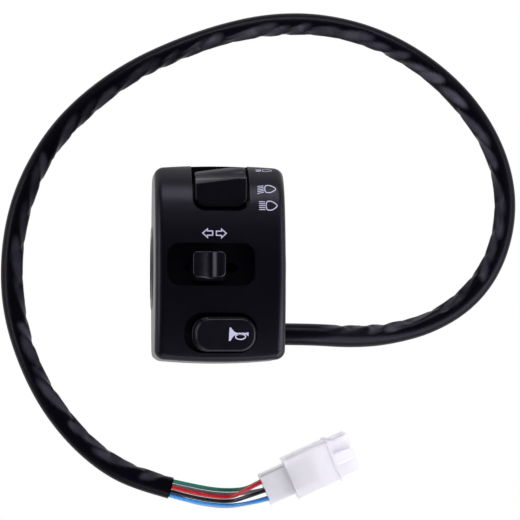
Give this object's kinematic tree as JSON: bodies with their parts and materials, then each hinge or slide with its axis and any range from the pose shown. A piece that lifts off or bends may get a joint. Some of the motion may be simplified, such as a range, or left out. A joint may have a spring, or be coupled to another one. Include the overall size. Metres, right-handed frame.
{
  "type": "handlebar switch cluster",
  "caption": "Left-hand motorcycle handlebar switch cluster with a beam rocker, a sliding turn-signal knob, a horn button and a sleeved lead to a white plug.",
  "frame": {"origin": "on the handlebar's axis, in the middle of the clamp", "axes": "+X along the handlebar towards the lead's exit, +Y up the switch face, +Z out of the face towards the rider"},
  "size_m": [0.1828, 0.1756, 0.0537],
  "materials": {
    "housing_plastic": "moulded black nylon, fine satin texture",
    "button_plastic": "moulded black plastic, smooth satin",
    "base_plastic": "moulded phenolic, matte",
    "slider_plastic": "natural acetal",
    "screw_steel": "zinc-plated steel",
    "spring_steel": "bright spring steel",
    "contact_brass": "brass",
    "contact_bronze": "phosphor bronze",
    "terminal_brass": "tinned brass",
    "grommet_rubber": "black rubber",
    "sleeve_pvc": "soft black PVC sleeve, glossy and wrinkled",
    "plug_nylon": "natural white nylon, slightly translucent",
    "green_insulation": "green PVC insulation",
    "grey_insulation": "grey PVC insulation",
    "brown_insulation": "brown PVC insulation",
    "red_insulation": "red PVC insulation",
    "black_insulation": "black PVC insulation",
    "blue_insulation": "blue PVC insulation"
  },
  "bodies": {
    "housing": {"front_housing": "housing_plastic", "rear_housing": "housing_plastic", "clamp_screws": "screw_steel", "screw_inserts": "contact_brass", "beam_switch_base": "base_plastic", "beam_base_screws": "screw_steel", "beam_contacts": "contact_brass", "rocker_pivot_pin": "screw_steel", "turn_switch_base": "base_plastic", "turn_base_screws": "screw_steel", "turn_contacts": "contact_brass", "horn_switch_base": "base_plastic", "horn_base_screws": "screw_steel", "horn_contacts": "contact_brass", "horn_spring": "spring_steel", "cord_grommet": "grommet_rubber", "inner_lead_green": "green_insulation", "inner_lead_red": "red_insulation", "inner_lead_brown": "brown_insulation", "inner_lead_blue": "blue_insulation", "inner_lead_grey": "grey_insulation", "inner_lead_black": "black_insulation", "feed_jumper": "red_insulation", "cord_sheath": "sleeve_pvc", "lead_green": "green_insulation", "lead_grey": "grey_insulation", "lead_brown": "brown_insulation", "lead_red": "red_insulation", "lead_black": "black_insulation", "lead_blue": "blue_insulation", "connector_housing": "plug_nylon", "connector_terminals": "terminal_brass"},
    "beam_rocker": {"beam_rocker": "button_plastic"},
    "beam_slider": {"beam_slider": "slider_plastic", "beam_contact_blade": "contact_bronze"},
    "turn_carriage": {"turn_carriage": "slider_plastic", "turn_bridge_contact": "contact_bronze", "detent_ball": "spring_steel", "detent_spring": "spring_steel", "cancel_spring": "spring_steel"},
    "turn_knob": {"turn_knob": "button_plastic"},
    "horn_button": {"horn_button": "button_plastic", "horn_bridge_contact": "contact_bronze"}
  },
  "joints": [
    {"name": "beam_rocker_tilt", "type": "hinge", "parent": "housing", "child": "beam_rocker", "pos_m": [0.00025, 0.017, 0.0175], "axis": [-1, 0, 0], "range_deg": [0, 15]},
    {"name": "beam_slide", "type": "slide", "parent": "housing", "child": "beam_slider", "axis": [0, -1, 0], "range_m": [0, 0.0013]},
    {"name": "turn_slide", "type": "slide", "parent": "housing", "child": "turn_carriage", "axis": [1, 0, 0], "range_m": [-0.0045, 0.0045]},
    {"name": "turn_push", "type": "slide", "parent": "turn_carriage", "child": "turn_knob", "axis": [0, 0, -1], "range_m": [0, 0.0016], "stiffness_N_per_m": 1000, "springref_m": -0.001, "deforming": ["cancel_spring"]},
    {"name": "horn_push", "type": "slide", "parent": "housing", "child": "horn_button", "axis": [0, 0.2079, -0.9781], "range_m": [0, 0.0022], "stiffness_N_per_m": 1500, "springref_m": -0.0015, "deforming": ["horn_spring"]}
  ],
  "couplings": [
    {"joint": "beam_slide", "follows": "beam_rocker_tilt", "m_per_rad": 0.0048}
  ]
}
